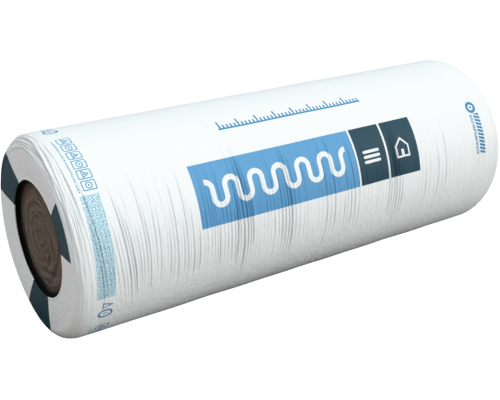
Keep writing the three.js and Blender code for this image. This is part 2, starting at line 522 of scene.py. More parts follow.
# %% A slow swell round both shoulders
SWELL_HEIGHT = 0.6 * MM
SWELL_PLACE = 8 * MM  # in from the ends of the roll
SWELL_REACH = 30 * MM
SWELL_LENGTH = 50 * MM


def shoulder_swell(along, angle, seed):
    """A slow noise round the shoulders that fades as exp(-(distance / reach) ** 4)."""
    along, angle = along[:, None], angle[None, :]
    near_edge = np.exp(-(((np.abs(along) - LENGTH / 2 + SWELL_PLACE) / SWELL_REACH) ** 4))
    swell = soft_noise(along, angle, SWELL_LENGTH, most_around=6, waves=30, seed=seed)
    return SWELL_HEIGHT * near_edge * swell


# %% Where along the profile and round the roll each kind of unevenness belongs
SHOULDER_DROP = 30 * MM  # nearer to the axis by this much, the film has left the roll's side
RING_DROP = 38 * MM  # and by this much it lies in the flat ring, where there are no folds
RING_FADE = 8 * MM
SIDES_POWER = 0.5
on_side = 1 - np.clip((RADIUS - film_radius) / SHOULDER_DROP, 0, 1)
off_ring = np.clip((film_radius - RADIUS + RING_DROP) / RING_FADE, 0, 1)
# 1 where the roll is widest, front and back, and 0 from an eighth of a turn above and below
sides = np.clip(np.cos(2 * film_angle), 0, 1)[None, :] ** SIDES_POWER * on_side
print(f"{on_side[:, 0].mean():.0%} of the rows on the roll's side")

# %% The film's height over its profile
OUTWARD = -1.0 * MM  # its usual height, a little below the profile
DEEPEST = -4.2 * MM
HIGHEST = 3 * MM
DENT_HEIGHT = 0.4 * MM
DENT_LENGTH = 210 * MM
RIPPLE_HEIGHT = 0.10 * MM
RIPPLE_LENGTH = 9 * MM
TOP_RIPPLE = 0.2  # ripple on the taut top, in shares of that on the sides
PRESSED_HEIGHT = 0.2 * MM  # along the line on which the roll lies
PRESSED_WIDTH = 0.4  # radians
PLEAT_FADE = 0.7  # powers of the share on the side; lower ones reach farther over the shoulder
SWELL_FADE = 0.5
depth = depth * on_side**PLEAT_FADE + (near_folds + far_folds) * off_ring
folds = shoulder_swell(developed, film_angle, seed=21) * on_side**SWELL_FADE + welt()
flat_grid = (developed[:, None], film_angle[None, :])
dents = DENT_HEIGHT * soft_noise(*flat_grid, DENT_LENGTH, most_around=3, waves=24, seed=31)
ripple = RIPPLE_HEIGHT * soft_noise(*flat_grid, RIPPLE_LENGTH, most_around=2, waves=40, seed=41)
pressed = np.exp(-((angle_from(film_angle, -np.pi / 2) / PRESSED_WIDTH) ** 2)) * on_side
sag = (PRESSED_HEIGHT - OUTWARD) * pressed
rippled = TOP_RIPPLE + (1 - TOP_RIPPLE) * sides
free_height = OUTWARD + sag - depth + folds + dents * on_side + ripple * rippled
height = np.clip(free_height, DEEPEST, HIGHEST)
print(f"film between {height.min() / MM:.1f} and {height.max() / MM:.1f} mm over its profile")

# %% The film as one closed skin
INSIDE_STEP = 22 * MM
INNER_SINK = 4.6 * MM  # of the inside, below the deepest pleat
LOWEST_FILM = 0.2 * MM  # over the floor, where the roll lies
SMOOTH_EDGE = 5 * BEAD_RADIUS  # no folds this close to the cut edge
height[from_edge < SMOOTH_EDGE] = 0.0
outer_radius = film_radius + normal_radius * height
outer_along = film_along + normal_along * height
inner_path = resample(film_path, INSIDE_STEP)[1:-1][::-1]
inner_profile = inner_path + square_to(inner_path) * INNER_SINK
inner_radius, inner_along = np.repeat(inner_profile.T[:, :, None], FILM_COLUMNS, axis=2)
film_points = around_axis(
    np.concatenate([outer_along, inner_along]),
    np.concatenate([outer_radius, inner_radius]),
    film_angle[None, :],
)
film_points[..., 2] = np.maximum(film_points[..., 2], LOWEST_FILM)
film = mesh_object("printed_film", film_points, grid_faces(len(film_points), FILM_COLUMNS, True))
print("film triangles:", 2 * len(film.data.polygons))

# %% [markdown]
# ## The print's own map
# The film is printed flat, before it is shrunk, so the print is drawn on a map of two
# lengths on the flat film: along the roll from its middle, and round it. Over the cylinder
# the map is simply unrolled. Over the ends more film was drawn in from one side than from
# the other, so there the map slides along and turns a little, and the print goes with it.

# %% Where the film was drawn in over the ends
PATCH_LENGTH = 62 * MM  # of the dark patches at the cut edge, on the taut side
MOST_DRAWN = 20.5 * MM  # half of what is drawn in more on the other side
EVEN_AGAIN = 118 * MM  # distance from the cut edge at which the map is plain again
TAUT_SIDE = math.radians(25)
MOST_TURN = math.radians(2.2)
TURN_REACH = 74 * MM
TURN_FADE = 0.5  # share of the way back to a plain map over which the turn fades
drawn = PATCH_LENGTH + MOST_DRAWN * (1 - np.cos(film_angle - TAUT_SIDE))[None, :]
coming = from_edge / drawn
going = np.clip((EVEN_AGAIN - from_edge) / (EVEN_AGAIN - drawn), 0, 1)
slide = (drawn - PATCH_LENGTH) * np.minimum(coming, going)
turned_share = np.clip(from_edge / TURN_REACH, 0, 1) * np.clip(going / TURN_FADE, 0, 1)
turned_by = -MOST_TURN * np.sin(film_angle - TAUT_SIDE)[None, :] * turned_share
printed_along = flat_along + np.sign(flat_along) * slide
printed_around = RADIUS * (film_angle[None, :] + turned_by)
inner_flat = np.linspace(developed[-1], developed[0], len(inner_profile))
map_corners(
    film,
    "film",
    np.concatenate([printed_along, np.repeat(inner_flat[:, None], FILM_COLUMNS, axis=1)]),
    np.concatenate([printed_around, RADIUS * np.repeat(film_angle[None, :], len(inner_flat), 0)]),
    2 * np.pi * RADIUS,
    FILM_COLUMNS,
)
print(f"the print slides by up to {slide.max() / MM:.0f} mm over the ends")

# %% What the folds leave for the film's material
SHADED_DEPTH = 2.2 * MM  # a pleat this deep is in full shade
SHOULDER_RELIEF = 0.3  # share of that shade which the open folds of the shoulders lose
SHOULDER_REACH = 34 * MM
LEAST_SLACK = 0.25  # crinkles on the taut top, in shares of those on the sides
SHOULDER_SLACK = 1.6  # how much more of them the upper shoulders have
RING_UNDER = 0.6  # creping of the flat rings, in shares of that under the roll
UPPER_START = -0.4  # sines of the angle round the roll
LOWER_START = -0.1
LOWER_FULL = -0.3
inner_zeros = np.zeros((len(inner_profile), FILM_COLUMNS))
rise = np.sin(film_angle)
on_shoulder = off_ring * np.exp(-(((np.abs(flat_along) - LENGTH / 2) / SHOULDER_REACH) ** 4))
# The crease share greys the film's colour in deep pleats: painted shade, weaker on the open folds
# of the shoulders.
painted_crease_shade = np.clip(depth / SHADED_DEPTH, 0, 1) ** 2 * (1 - SHOULDER_RELIEF * on_shoulder)
upper = np.clip(rise - UPPER_START, 0, 1)[None, :]
slack = LEAST_SLACK + (1 - LEAST_SLACK) * sides + SHOULDER_SLACK * on_shoulder * upper
lower = np.clip((LOWER_START - rise) / (LOWER_START - LOWER_FULL), 0, 1)[None, :] * on_side
under = np.maximum(lower, RING_UNDER * (1 - off_ring))
for name, values in (("crease", painted_crease_shade), ("slack", slack), ("under", under)):
    point_values(film, name, np.concatenate([values, inner_zeros]))

# %% [markdown]
# ## The wool's ends
# The blanket is felted glass fibre, laid down in thin layers and wound up, so the end
# shows a spiral of turns, each with a grain that follows it round. One solid turned
# about the axis carries it: the rows are packed tight on the two ends, and the heights
# there follow the spiral. A displacement texture would also do it, but a formula of
# the spiral keeps every groove on its turn.

# %% The wool's profile
FACE_RADIUS = 140 * MM  # the face ends here, out of sight behind the film
RISE_RADIUS = 122 * MM
RISE_WIDTH = 18 * MM
TROUGH_DEPTH = 15.5 * MM
CROWN = 7 * MM
CROWN_START = 1.15  # radius at which the crown begins to rise, in opening radii
UNDER_FILM = 5.1 * MM  # of its rim, behind the edge of the film


def ease(share):
    """A rise from 0 to 1 that starts and ends level: (1 - cos(pi * share)) / 2."""
    return (1 - np.cos(np.pi * np.clip(share, 0, 1))) / 2


def face_depth(radius):
    """How far the wool lies behind the end of the roll: a soft crown in the middle, a
    trough round it, and a rise to the film's underside, out of sight behind its edge."""
    trough = EDGE_DIP + TROUGH_DEPTH
    crown = CROWN * ease(CROWN_START - radius / OPENING_RADIUS)
    rise = (trough - EDGE_DIP - UNDER_FILM) * ease((radius - RISE_RADIUS) / RISE_WIDTH)
    return trough - crown - rise


print(f"wool {face_depth(0.0) / MM:.0f} mm behind the roll's end in the middle")

# %% The spiral of turns
WOOL_COLUMNS = 288
FACE_ROWS = 118
HIDDEN_ROWS = 4
HIDDEN_RADII = (150 * MM, RADIUS - 26 * MM)
TURN = 30 * MM
EYE_OFFSET = (-2 * MM, 8 * MM)
UNEVEN_REACH = 50 * MM  # the turns are round at the eye and fully uneven from here out
UNEVEN = (
    # waves in one turn round the eye, radians at which they start, size in turns
    (2, 0.7, 0.05),
    (3, 2.0, 0.035),
    (5, 4.1, 0.02),
)


def from_eye(radius, angle):
    """Distance and angle of each point from an eye that sits a little off the axis."""
    out = radius * np.cos(angle) - EYE_OFFSET[0]
    up = radius * np.sin(angle) - EYE_OFFSET[1]
    return np.hypot(out, up), np.arctan2(up, out)


wool_angle = angles(WOOL_COLUMNS)
wool_radius = np.concatenate([
    np.linspace(0.0, FACE_RADIUS, FACE_ROWS),
    np.linspace(*HIDDEN_RADII, HIDDEN_ROWS),
])
face_radius, face_angle = wool_radius[:, None], wool_angle[None, :]
distance, bearing = from_eye(face_radius, face_angle)
lopsided = sum(size * np.sin(count * bearing + start) for count, start, size in UNEVEN)
growing = np.minimum(distance / UNEVEN_REACH, 1)
turns = distance / TURN + lopsided * growing - bearing / (2 * np.pi)
place = turns - np.floor(turns)
wound = 2 * np.pi * np.floor(turns) + bearing
print(f"about {turns.max():.1f} turns show")

# %% The grain of the layers
WAVES_ACROSS = (1.5, 11)  # layers in the thickness of one turn
WAVES_ALONG = 5


def layered(place, wound, seed, waves=60):
    """Cosines of (across * place + along * wound + start), long along the winding and
    short across it."""
    random = np.random.default_rng(seed)
    total = np.zeros_like(place)
    for _ in range(waves):
        across = 2 * np.pi * random.uniform(*WAVES_ACROSS)
        along = random.normal(0, WAVES_ALONG)
        total += np.cos(across * place + along * wound + random.uniform(0, 2 * np.pi))
    return total / math.sqrt(waves / 2) / USUAL_PEAK


# %% The face's relief: full turns, seams between them, layers and clumps
PILLOW_HEIGHT = 1.3 * MM
SEAM_HEIGHT = 1.3 * MM
LAYER_HEIGHT = 0.4 * MM
CLUMP_HEIGHT = 0.9 * MM
CLUMP_LENGTH = 22 * MM
HIGHEST_RELIEF = 4 * MM
SEAM_WIDTH = 0.08  # of a turn
SEAM_POWER = 1.2
PILLOW_POWER = 2.5  # the higher, the flatter the middle of a turn
RELIEF_FADE = 12 * MM
seam = np.exp(-((np.minimum(place, 1 - place) / SEAM_WIDTH) ** SEAM_POWER))
pillow = 1 - np.abs(2 * place - 1) ** PILLOW_POWER
layer = layered(place, wound, seed=51)
clumps = soft_noise(face_radius, face_angle, CLUMP_LENGTH, most_around=9, waves=40, seed=61)
relief = PILLOW_HEIGHT * pillow - SEAM_HEIGHT * seam + LAYER_HEIGHT * layer + CLUMP_HEIGHT * clumps
visible = np.clip((FACE_RADIUS - face_radius) / RELIEF_FADE, 0, 1)
print(f"relief from {relief.min() / MM:.1f} to {relief.max() / MM:.1f} mm")

# %% The wool as one closed body
BODY_RADIUS = RADIUS - 5.5 * MM
BODY_TURN = 30 * MM
BODY_TURN_ALONG = 36 * MM
BODY_INSET = 10 * MM  # of the body's own shoulder from the end of the roll
HIDDEN_SINK = 3 * MM
TURN_ROWS = 6
LOWEST_WOOL = 2.8 * MM  # over the floor, inside the film
face = LENGTH / 2 - face_depth(face_radius) + np.minimum(relief * visible, HIGHEST_RELIEF)
face[wool_radius > FACE_RADIUS] = LENGTH / 2 - EDGE_DIP - UNDER_FILM - HIDDEN_SINK
shoulder_turn = np.linspace(np.pi / 2, 0, TURN_ROWS)
shoulder_radius = BODY_RADIUS - BODY_TURN * (1 - np.cos(shoulder_turn))
turn_start = LENGTH / 2 - BODY_INSET - BODY_TURN_ALONG
shoulder_along = turn_start + BODY_TURN_ALONG * np.sin(shoulder_turn)
end_radius = np.concatenate([wool_radius, shoulder_radius])
end_along = np.concatenate([face, np.repeat(shoulder_along[:, None], WOOL_COLUMNS, axis=1)])
wool_rows = np.concatenate([-end_along, end_along[::-1]])
wool_radii = np.concatenate([end_radius, end_radius[::-1]])[:, None]
wool_points = around_axis(wool_rows, wool_radii, wool_angle[None, :])
wool_points[..., 2] = np.maximum(wool_points[..., 2], LOWEST_WOOL)
wool = mesh_object("wool_blanket", wool_points, grid_faces(len(wool_rows), WOOL_COLUMNS, False))
print("wool triangles:", 2 * len(wool.data.polygons))

# %% What the grain leaves for the wool's material, and the painted shade in the seams and under the film's edge
RIM_SHADE_START = 101 * MM
RIM_SHADE_WIDTH = 23 * MM
RIM_SHADE_POWER = 1.3
SEAM_SHADE = 0.4
LAYER_SHARE = 0.35
CLUMP_SHARE = 0.5


def on_both_ends(values, between):
    """The face's values for the rows of both ends, with one value for the rest."""
    rest = np.full((len(shoulder_radius), WOOL_COLUMNS), between)
    end = np.concatenate([values, rest])
    return np.concatenate([end, end[::-1]])


# Painted shade: the wool's colour darkens outwards into the recess under the film's edge, and in
# the seams between turns.
painted_wool_shade = np.clip((face_radius - RIM_SHADE_START) / RIM_SHADE_WIDTH, 0, 1) ** RIM_SHADE_POWER
grain_values = LAYER_SHARE * layer + CLUMP_SHARE * clumps
point_values(wool, "grain", on_both_ends(grain_values, 0.0))
point_values(wool, "painted_wool_shade", on_both_ends(np.maximum(SEAM_SHADE * seam, painted_wool_shade), 1.0))

# %% [markdown]
# ## Materials
# Colours are given as the hex values a paint chart would use and turned to linear light
# by one function. One more small function adds a node with its settings and links. Inputs
# go by name or, where a node has several of one name, by number: the colours of a Mix node
# are 6 and 7, and a Map Range node turns what lies between inputs 1 and 2 into what lies
# between 3 and 4.


# %% Colour and node helpers
def srgb(code):
    """A hex colour in linear light: ((c + 0.055) / 1.055) ** 2.4, or c / 12.92 when dark."""
    channels = [int(code[i : i + 2], 16) / 255 for i in (0, 2, 4)]
    linear = [((c + 0.055) / 1.055) ** 2.4 if c > 0.04045 else c / 12.92 for c in channels]
    return (*linear, 1.0)


def add(tree, kind, inputs, **settings):
    """Adds a node, sets its properties, and gives each named or numbered input either a
    value or, from a socket, a link. Returns the node's first output that is in use."""
    node = tree.nodes.new(kind)
    for name, value in settings.items():
        setattr(node, name, value)
    for socket, value in inputs.items():
        if isinstance(value, bpy.types.NodeSocket):
            tree.links.new(value, node.inputs[socket])
        else:
            node.inputs[socket].default_value = value
    in_use = [socket for socket in node.outputs if socket.enabled]
    return in_use[0] if in_use else None


def new_tree(owner):
    """The empty node tree of a material or a world."""
    owner.use_nodes = True
    owner.node_tree.nodes.clear()
    return owner.node_tree


# %% [markdown]
# ## Polyethylene film with its print
# Low density polyethylene filled with white pigment: blown into a tube, so it has a soft
# gloss and an IOR of 1.51. The print is flexographic ink on the flat film, in tints of a
# light blue and in dark petrol, and it repeats three times round. For every shape of it,
# the nodes work out a distance to the shape on the film's own map, and there is ink where
# that is small enough. A picture would need fewer nodes, but distances stay sharp at any
# size, and places and sizes stay numbers that can be read.

# %% The place on the flat film, in metres
film_material = bpy.data.materials.new("white_blown_polyethylene_film")
tree = new_tree(film_material)
REPEAT = 2 * math.pi * RADIUS / 3
REPEAT_START = -149 * MM
film_uv = add(tree, "ShaderNodeUVMap", {}, uv_map="film")
along = add(tree, "ShaderNodeSeparateXYZ", {0: film_uv})
map_around = along.node.outputs["Y"]
around = add(
    tree,
    "ShaderNodeMath",
    {0: map_around, 1: REPEAT_START + REPEAT, 2: REPEAT_START},
    operation="WRAP",
)
print_place = add(tree, "ShaderNodeCombineXYZ", {0: along, 1: around})
print(f"the print repeats each {REPEAT / MM:.0f} mm round the roll")

# %% Distances to plain shapes
SQUARE_CORNER = 0.5  # millimetres; ink hardly prints a sharper one


def in_metres(centre):
    """A place of (along, round) in millimetres as a vector in metres."""
    return (centre[0] * MM, centre[1] * MM, 0)


def to_box(place, centre, size, corner=SQUARE_CORNER):
    """Distance to a box with rounded corners: length(max(|place - centre| - half + corner,
    0)) - corner. Centre and size are in millimetres, along the roll first, then round it."""
    reach = [max(side / 2 - corner, 0) * MM for side in size]
    offset = {0: place, 1: in_metres(centre)}
    away = add(tree, "ShaderNodeVectorMath", offset, operation="SUBTRACT")
    away = add(tree, "ShaderNodeVectorMath", {0: away}, operation="ABSOLUTE")
    away = add(tree, "ShaderNodeVectorMath", {0: away, 1: (*reach, 1)}, operation="SUBTRACT")
    away = add(tree, "ShaderNodeVectorMath", {0: away, 1: (0, 0, 0)}, operation="MAXIMUM")
    away = add(tree, "ShaderNodeVectorMath", {0: away}, operation="LENGTH")
    return add(tree, "ShaderNodeMath", {0: away, 1: corner * MM}, operation="SUBTRACT")


def to_ring(place, centre, radius):
    """Distance to a circle: |distance to the centre - radius|."""
    offset = {0: place, 1: in_metres(centre)}
    away = add(tree, "ShaderNodeVectorMath", offset, operation="DISTANCE")
    away = add(tree, "ShaderNodeMath", {0: away, 1: radius * MM}, operation="SUBTRACT")
    return add(tree, "ShaderNodeMath", {0: away}, operation="ABSOLUTE")


def to_polygon(place, centre, sides):
    """Distance to the outline of a shape with straight sides, each given by the direction
    it faces, in degrees, and how far it is from the centre:
    |max(dot(place - centre, direction) - distance)|."""
    offset = {0: place, 1: in_metres(centre)}
    away = add(tree, "ShaderNodeVectorMath", offset, operation="SUBTRACT")
    furthest = -1.0  # metres, to start from: the outline is never this far away
    for facing, distance in sides:
        normal = (math.cos(math.radians(facing)), math.sin(math.radians(facing)), 0)
        reach = add(tree, "ShaderNodeVectorMath", {0: away, 1: normal}, operation="DOT_PRODUCT")
        reach = add(tree, "ShaderNodeMath", {0: reach, 1: distance * MM}, operation="SUBTRACT")
        furthest = add(tree, "ShaderNodeMath", {0: reach, 1: furthest}, operation="MAXIMUM")
    return add(tree, "ShaderNodeMath", {0: furthest}, operation="ABSOLUTE")


# %% From distances to ink
EDGE_SOFTNESS = 0.25  # millimetres to either side of an edge of ink


def inked(distance, reach=0.0):
    """1 where a distance is below the reach in millimetres, 0 above it, soft between."""
    outer, inner = (reach + EDGE_SOFTNESS) * MM, (reach - EDGE_SOFTNESS) * MM
    edge = {0: distance, 1: outer, 2: inner, 3: 0.0, 4: 1.0}
    return add(tree, "ShaderNodeMapRange", edge)


def all_of(masks):
    """Ink only where every mask has it: their product."""
    total = masks[0]
    for mask in masks[1:]:
        total = add(tree, "ShaderNodeMath", {0: total, 1: mask}, operation="MULTIPLY")
    return total


def any_of(masks):
    """Ink where any of the masks has it: the largest of them."""
    total = masks[0]
    for mask in masks[1:]:
        total = add(tree, "ShaderNodeMath", {0: total, 1: mask}, operation="MAXIMUM")
    return total


# %% The three panels
PANEL_CORNER = 0.6
BLUE_PANEL = ((-108.3, 102.5), (427.8, 136.8))
DARK_PANELS = (((155.0, 102.5), (88.2, 136.8)), ((252.0, 102.5), (94.2, 136.8)))
blue_panel = inked(to_box(print_place, *BLUE_PANEL, PANEL_CORNER))
dark_panels = any_of([inked(to_box(print_place, *panel, PANEL_CORNER)) for panel in DARK_PANELS])
print(f"panels {BLUE_PANEL[1][1]} mm high")

# %% A winding line, the draughtsman's sign for insulation, left white in the blue panel
WINDS = 6
WIND_PITCH = 63.0
WIND_STRAIGHT = 22.0
WIND_LINE = 12.0
WIND_HEIGHT = 90
# The turns are rings half a pitch across, above and below the panel's middle. Those below
# are shifted by half a pitch, and straight runs join them
wind_start = BLUE_PANEL[0][0] - WINDS / 2 * WIND_PITCH
half_pitch = WIND_PITCH / 2 * MM
above = add(
    tree, "ShaderNodeMath", {0: around, 1: BLUE_PANEL[0][1] * MM}, operation="SUBTRACT"
)
is_below = add(tree, "ShaderNodeMath", {0: above, 1: 0.0}, operation="LESS_THAN")
from_start = add(tree, "ShaderNodeMath", {0: along, 1: -wind_start * MM}, operation="ADD")
shifted = add(
    tree, "ShaderNodeMath", {0: is_below, 1: half_pitch, 2: from_start}, operation="MULTIPLY_ADD"
)
from_crest = add(tree, "ShaderNodeMath", {0: shifted, 1: half_pitch}, operation="PINGPONG")
off_middle = add(tree, "ShaderNodeMath", {0: above}, operation="ABSOLUTE")
beyond = add(
    tree, "ShaderNodeMath", {0: off_middle, 1: WIND_STRAIGHT / 2 * MM}, operation="SUBTRACT"
)
past_straight = add(tree, "ShaderNodeMath", {0: beyond, 1: 0.0}, operation="MAXIMUM")
from_turn = add(tree, "ShaderNodeCombineXYZ", {0: from_crest, 1: past_straight})
off_wind = to_ring(from_turn, (0, 0), WIND_PITCH / 4)
wind_size = (WINDS * WIND_PITCH, WIND_HEIGHT)
wind_place = inked(to_box(print_place, BLUE_PANEL[0], wind_size))
winding_line = all_of([inked(off_wind, WIND_LINE / 2), wind_place])
print(f"winding line over {wind_size[0]:.0f} mm")

# %% Three layers and a plain house, left white in the dark panels
LAYER_PLACES = ((154.5, 86), (154.5, 98), (154.5, 110))
LAYER_SIZE = (50, 7)
HOUSE = (251, 98)
HOUSE_SIDES = ((0, 19), (180, 19), (-90, 19), (45, 18), (135, 18))
HALF_HOUSE_LINE = 2.2
DOOR = (251, 88)
DOOR_SIZE = (8, 17)
layers = [inked(to_box(print_place, layer, LAYER_SIZE, corner=3)) for layer in LAYER_PLACES]
house_line = inked(to_polygon(print_place, HOUSE, HOUSE_SIDES), HALF_HOUSE_LINE)
door = inked(to_box(print_place, DOOR, DOOR_SIZE))
panel_signs = any_of([house_line, door] + layers)
print(f"{len(layers)} layers, and a house {2 * HOUSE_SIDES[0][1]} mm wide")

# %% A cutting scale: a line with a tick each 10 mm and a longer one each 50 mm
SCALE_MIDDLE = -5.8
SCALE_LENGTH = 401
SCALE_FOOT = 242
HALF_TICK = 2.3
BASE_LINE = 5
BASE_MIDDLE = 244
TICKS = (
    # millimetres from one tick to the next, length
    (10, 14),
    (50, 26),
)
base_place = (SCALE_MIDDLE, BASE_MIDDLE)
scale_parts = [inked(to_box(print_place, base_place, (SCALE_LENGTH, BASE_LINE)))]
for pitch, length in TICKS:
    off_tick = add(tree, "ShaderNodeMath", {0: along, 1: pitch / 2 * MM}, operation="PINGPONG")
    tick_place = (SCALE_MIDDLE, SCALE_FOOT + length / 2)
    ticks_reach = inked(to_box(print_place, tick_place, (SCALE_LENGTH, length)))
    scale_parts.append(all_of([inked(off_tick, HALF_TICK), ticks_reach]))
scale = any_of(scale_parts)
print(f"scale of {SCALE_LENGTH} mm")

# %% Six boxes with plain signs, round the roll near one end
BOXES = 6
BOX_PITCH = 25.3
BOX_SIZE = (30, 22)
SIGNS_ALONG = -536.5
SIGNS_MIDDLE = 242
SIGNS_WIDTH = 40
box_middle = (SIGNS_ALONG, SIGNS_MIDDLE + 0.5 * BOX_PITCH)
signs_size = (SIGNS_WIDTH, BOXES * BOX_PITCH)
signs_reach = inked(to_box(print_place, (SIGNS_ALONG, SIGNS_MIDDLE), signs_size))
# The place round the roll is wrapped, so that the one box worked out shows as all of them
stepped = add(
    tree,
    "ShaderNodeMath",
    {0: around, 1: (SIGNS_MIDDLE + BOX_PITCH) * MM, 2: SIGNS_MIDDLE * MM},
    operation="WRAP",
)
box_place = add(tree, "ShaderNodeCombineXYZ", {0: along, 1: stepped})
print(f"{BOXES} boxes, {BOX_PITCH} mm from one to the next")

# %% What is in each box: its frame, a dot, and a ring or a triangle in turn
BOX_INSET = 1  # from the edge of a box to the middle of its line
HALF_SIGN_LINE = 1.3
RING_SIGN = 6.5
TRIANGLE_SIGN = ((180, 4.5), (60, 4.0), (-60, 4.0))
DOT_SIGN = (4.5, 4.5)
frame_away = to_box(box_place, box_middle, BOX_SIZE, corner=3)
past_inset = add(tree, "ShaderNodeMath", {0: frame_away, 1: BOX_INSET * MM}, operation="ADD")
off_frame = add(tree, "ShaderNodeMath", {0: past_inset}, operation="ABSOLUTE")
from_first = add(tree, "ShaderNodeMath", {0: around, 1: -SIGNS_MIDDLE * MM}, operation="ADD")
in_pair = add(
    tree, "ShaderNodeMath", {0: from_first, 1: 2 * BOX_PITCH * MM, 2: 0.0}, operation="WRAP"
)
odd = add(tree, "ShaderNodeMath", {0: in_pair, 1: BOX_PITCH * MM}, operation="GREATER_THAN")
even = add(tree, "ShaderNodeMath", {0: 1.0, 1: odd}, operation="SUBTRACT")
ring_sign = inked(to_ring(box_place, box_middle, RING_SIGN), HALF_SIGN_LINE)
triangle_sign = inked(to_polygon(box_place, box_middle, TRIANGLE_SIGN), HALF_SIGN_LINE)
signs = any_of([
    inked(off_frame, HALF_SIGN_LINE),
    all_of([ring_sign, odd]),
    all_of([triangle_sign, even]),
    inked(to_box(box_place, box_middle, DOT_SIGN, corner=2)),
])
boxes = all_of([signs, signs_reach])
print(f"a ring or a triangle about {2 * RING_SIGN:.0f} mm across in each")

# %% Fine rows, as small print looks from a few metres: lines broken into specks
ROW_EDGE = 0.05  # share of a row's pitch over which it fades
BETWEEN_ROWS = 0.5  # share of the ink left between rows
SPECK_FULL = 0.34  # distance from a speck's middle up to which it is full, in grains
SPECK_GONE = 0.46


def speckled_rows(centre, size, pitch, height, grain, between, seed):
    """Rows at a pitch along the roll, filled with specks that are a grain of (along, round)
    apart; between the specks a share of the ink is left."""
    row = add(tree, "ShaderNodeMath", {0: along, 1: 1 / (pitch * MM)}, operation="MULTIPLY")
    share = add(tree, "ShaderNodeMath", {0: row}, operation="FRACT")
    filled = height / pitch
    fade = {0: share, 1: filled, 2: filled + ROW_EDGE, 3: 1.0, 4: BETWEEN_ROWS}
    in_row = add(tree, "ShaderNodeMapRange", fade)
    finer = (*(1 / (length * MM) for length in grain), 1)
    grain_place = {"Vector": print_place, "Location": (seed, 0, 0), "Scale": finer}
    spot = add(tree, "ShaderNodeMapping", grain_place)
    cells = {"Vector": spot, "Scale": 1.0, "Randomness": 0.8}
    off_speck = add(tree, "ShaderNodeTexVoronoi", cells, voronoi_dimensions="2D")
    dotted = {0: off_speck, 1: SPECK_GONE, 2: SPECK_FULL, 3: between, 4: 1.0}
    speck = add(tree, "ShaderNodeMapRange", dotted)
    return all_of([in_row, speck, inked(to_box(print_place, centre, size))])


# %% Small print at the near end, and a line of it beside the boxes and at the far end
SPECKLED = (
    # middle, size, pitch of the rows, height of a row, grain, ink between specks, seed
    ((-543.5, 50), (40, 219), 8.0, 6.8, (3.8, 3.8), 0.34, 3.1),
    ((-560.5, 239), (4.5, 146), 4.5, 3.5, (4.5, 3.6), 0.32, 8.2),
    ((504.5, 87), (10, 104), 10.0, 7.5, (6.0, 4.4), 0.35, 5.4),
)
small_print, side_line, far_line = (speckled_rows(*rows) for rows in SPECKLED)
print(f"{len(SPECKLED)} places with small print")

# %% Plain signs under the small print
LOW_TRIANGLE = (-540, -81)
LOW_TRIANGLE_SIDES = ((180, 8.0), (70, 3.8), (-70, 3.8))
LOW_OVAL = (-541, -105.5)
LOW_OVAL_SIZE = (28, 20)
LOW_BAR_SIZE = (12, 3)
HALF_TRIANGLE_LINE = 1.5
HALF_OVAL_LINE = 2.3
to_triangle = to_polygon(print_place, LOW_TRIANGLE, LOW_TRIANGLE_SIDES)
low_triangle = inked(to_triangle, HALF_TRIANGLE_LINE)
oval_away = to_box(print_place, LOW_OVAL, LOW_OVAL_SIZE, corner=10)
off_oval = add(tree, "ShaderNodeMath", {0: oval_away}, operation="ABSOLUTE")
low_bar = inked(to_box(print_place, LOW_OVAL, LOW_BAR_SIZE, corner=1))
low_signs = any_of([low_triangle, inked(off_oval, HALF_OVAL_LINE), low_bar])
print(f"oval {LOW_OVAL_SIZE[0]} by {LOW_OVAL_SIZE[1]} mm")

# %% A ring with a dot and a row of slanted strokes beside the far end
FAR_RING = (514.5, 158)
FAR_RING_RADIUS = 12
HALF_FAR_RING = 4.0
FAR_DOT_SIZE = (7, 7)
STROKE_SLANT = 0.35
HALF_STROKE_PITCH = 4.6
HALF_STROKE = 3.2
STROKES = (522.5, 87)
STROKES_SIZE = (19, 106)
far_ring = inked(to_ring(print_place, FAR_RING, FAR_RING_RADIUS), HALF_FAR_RING)
far_dot = inked(to_box(print_place, FAR_RING, FAR_DOT_SIZE, corner=3))
leaned = add(
    tree, "ShaderNodeMath", {0: along, 1: STROKE_SLANT, 2: around}, operation="MULTIPLY_ADD"
)
off_stroke = add(
    tree, "ShaderNodeMath", {0: leaned, 1: HALF_STROKE_PITCH * MM}, operation="PINGPONG"
)
strokes_reach = inked(to_box(print_place, STROKES, STROKES_SIZE))
strokes = all_of([inked(off_stroke, HALF_STROKE), strokes_reach])
far_signs = any_of([far_ring, far_dot, strokes])
print(f"strokes {2 * HALF_STROKE_PITCH:.1f} mm from one to the next")

# %% Three dark patches over each end, where the film was printed up to its cut edge
PATCH_MIDDLE = 98
PATCH_SIZE = (2 * PATCH_LENGTH / MM, 143)
film_half = developed[-1] / MM
end_patches = any_of([
    inked(to_box(print_place, (side * film_half, PATCH_MIDDLE), PATCH_SIZE))
    for side in SHOULDERS
])
print(f"dark patches {PATCH_SIZE[1]} mm wide, up to {film_half:.0f} mm from the middle")

# %% The inks laid over the white film, one over the other
FILM_TONES = ("EDF0F1", "F4F5F5")
CLOUD_SCALE = 9.0  # in each metre: the pigment is uneven in clouds about 110 mm wide
INKS = (
    # where it is, its colour
    (small_print, "7EBBD2"),
    (any_of([side_line, boxes]), "5F9FBE"),
    (any_of([scale, far_line, low_signs, far_signs]), "3E88B3"),
    (blue_panel, "5B9DCB"),
    (dark_panels, "0A3E4F"),
    (end_patches, "023643"),
    (any_of([winding_line, panel_signs]), "F0F2F3"),
)
clouds = {"Vector": film_uv, "Scale": CLOUD_SCALE, "Detail": 3.0}
cloud = add(tree, "ShaderNodeTexNoise", clouds)
film_tones = {"Factor": cloud, 6: srgb(FILM_TONES[0]), 7: srgb(FILM_TONES[1])}
colour = add(tree, "ShaderNodeMix", film_tones, data_type="RGBA")
for mask, code in INKS:
    printed = {"Factor": mask, 6: colour, 7: srgb(code)}
    colour = add(tree, "ShaderNodeMix", printed, data_type="RGBA")
print(f"{len(INKS)} layers of ink")
